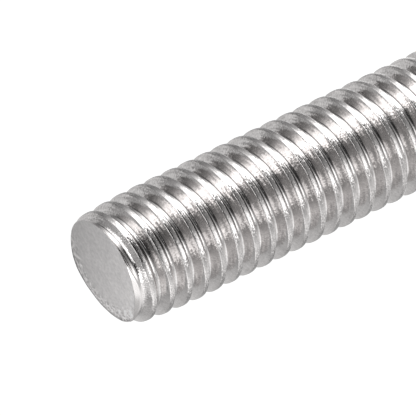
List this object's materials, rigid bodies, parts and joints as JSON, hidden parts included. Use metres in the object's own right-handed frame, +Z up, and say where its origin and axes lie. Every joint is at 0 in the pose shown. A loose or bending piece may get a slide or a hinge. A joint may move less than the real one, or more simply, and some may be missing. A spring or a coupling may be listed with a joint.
{
  "type": "threaded rod",
  "caption": "Straight stainless steel rod with a coarse metric thread rolled along its whole length and a small chamfer at each flat end.",
  "frame": {"origin": "centre of the lower end face", "axes": "+Z up the rod's axis, from the lower end face to the upper one; the thread is right-hand about +Z"},
  "size_m": [0.0078, 0.0078, 0.06],
  "materials": {
    "steel": "bright rolled stainless steel, with fine lines round the thread and a duller sawn and ground end face"
  },
  "bodies": {
    "root": {"threaded_rod": "steel"}
  },
  "joints": []
}
